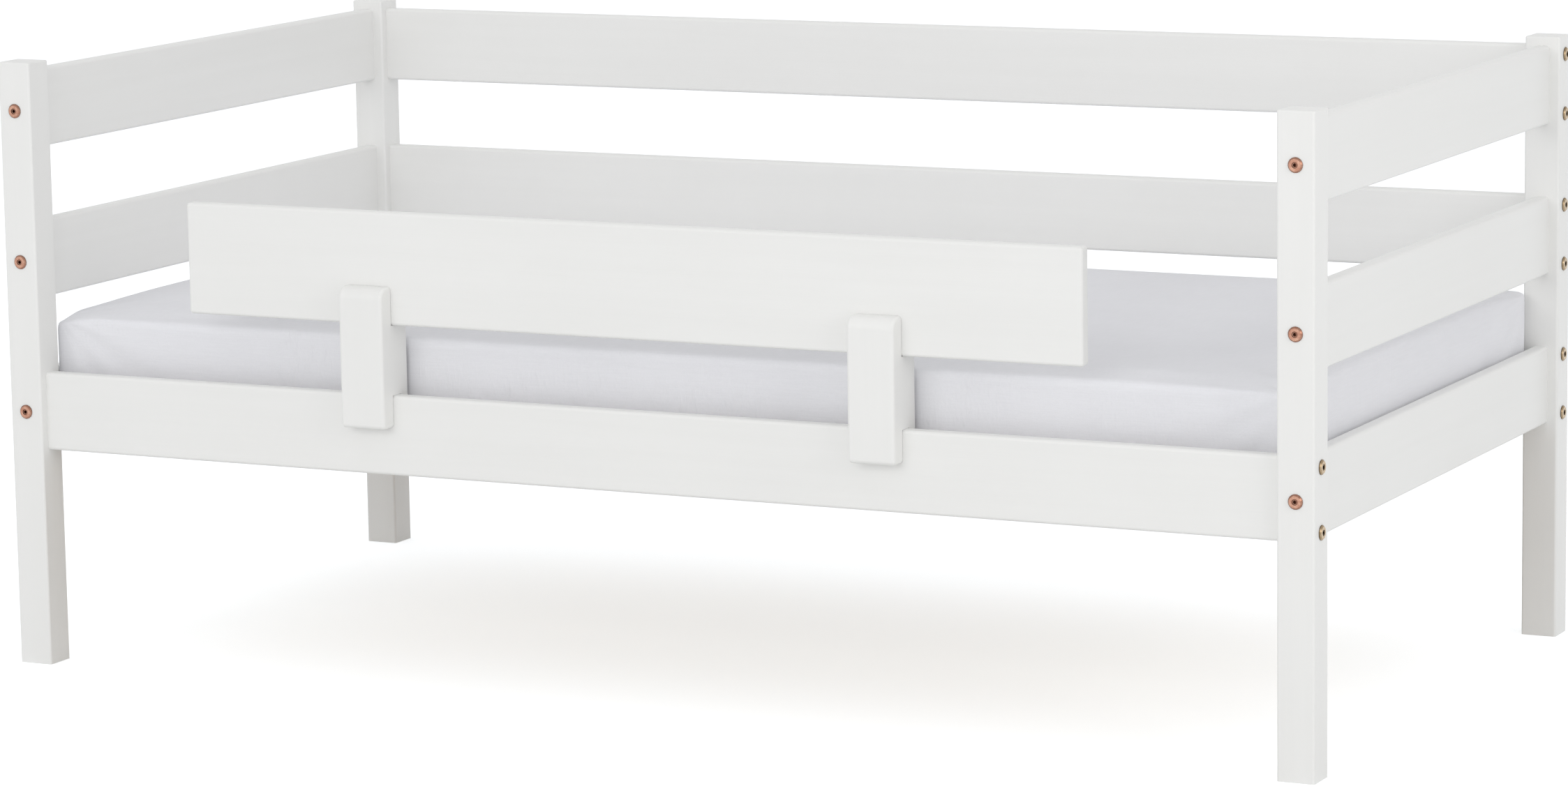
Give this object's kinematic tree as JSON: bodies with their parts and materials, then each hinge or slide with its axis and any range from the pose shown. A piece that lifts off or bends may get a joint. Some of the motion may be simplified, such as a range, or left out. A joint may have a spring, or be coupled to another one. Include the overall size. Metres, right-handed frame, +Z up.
{
  "type": "toddler bed",
  "caption": "Low white wooden child's bed with open boards at the ends and back, a slatted base, a mattress and a guard board held over the front rail by slotted brackets.",
  "frame": {"origin": "on the floor under the middle of the bed, midway between the four posts", "axes": "+X along the bed to its right end as seen from the front, +Y to the back, +Z up"},
  "size_m": [1.6852, 0.889, 0.736],
  "materials": {
    "white_paint": "satin white paint over pine",
    "bare_pine": "planed, unpainted",
    "beech": "turned, unpainted",
    "bedding": "matte woven cotton",
    "brass_plate": "satin plated",
    "zinc_steel": "zinc plated"
  },
  "bodies": {
    "frame": {"front_left_post": "white_paint", "front_right_post": "white_paint", "rear_left_post": "white_paint", "rear_right_post": "white_paint", "left_lower_board": "white_paint", "left_middle_board": "white_paint", "left_top_board": "white_paint", "right_lower_board": "white_paint", "right_middle_board": "white_paint", "right_top_board": "white_paint", "front_side_rail": "white_paint", "rear_side_rail": "white_paint", "back_middle_board": "white_paint", "back_top_board": "white_paint", "front_ledger": "bare_pine", "rear_ledger": "bare_pine", "slat_01": "bare_pine", "slat_02": "bare_pine", "slat_03": "bare_pine", "slat_04": "bare_pine", "slat_05": "bare_pine", "slat_06": "bare_pine", "slat_07": "bare_pine", "slat_08": "bare_pine", "slat_09": "bare_pine", "slat_10": "bare_pine", "slat_11": "bare_pine", "slat_12": "bare_pine", "slat_13": "bare_pine", "slat_14": "bare_pine", "end_bolts": "brass_plate", "side_bolts": "brass_plate", "end_nuts": "zinc_steel", "side_nuts": "zinc_steel", "end_dowels": "beech", "slat_screws": "zinc_steel", "ledger_screws": "zinc_steel"},
    "mattress": {"mattress": "bedding"},
    "guard_brackets": {"guard_bracket_left": "white_paint", "guard_bracket_right": "white_paint"},
    "guard_board": {"guard_board": "white_paint"}
  },
  "joints": [
    {"name": "mattress_lift", "type": "slide", "parent": "frame", "child": "mattress", "axis": [0, 0, 1], "range_m": [0, 0.45]},
    {"name": "guard_slide", "type": "slide", "parent": "frame", "child": "guard_brackets", "axis": [1, 0, 0], "range_m": [-0.2, 0.22]},
    {"name": "guard_lift", "type": "slide", "parent": "guard_brackets", "child": "guard_board", "axis": [0, 0, 1], "range_m": [0, 0.3]}
  ]
}
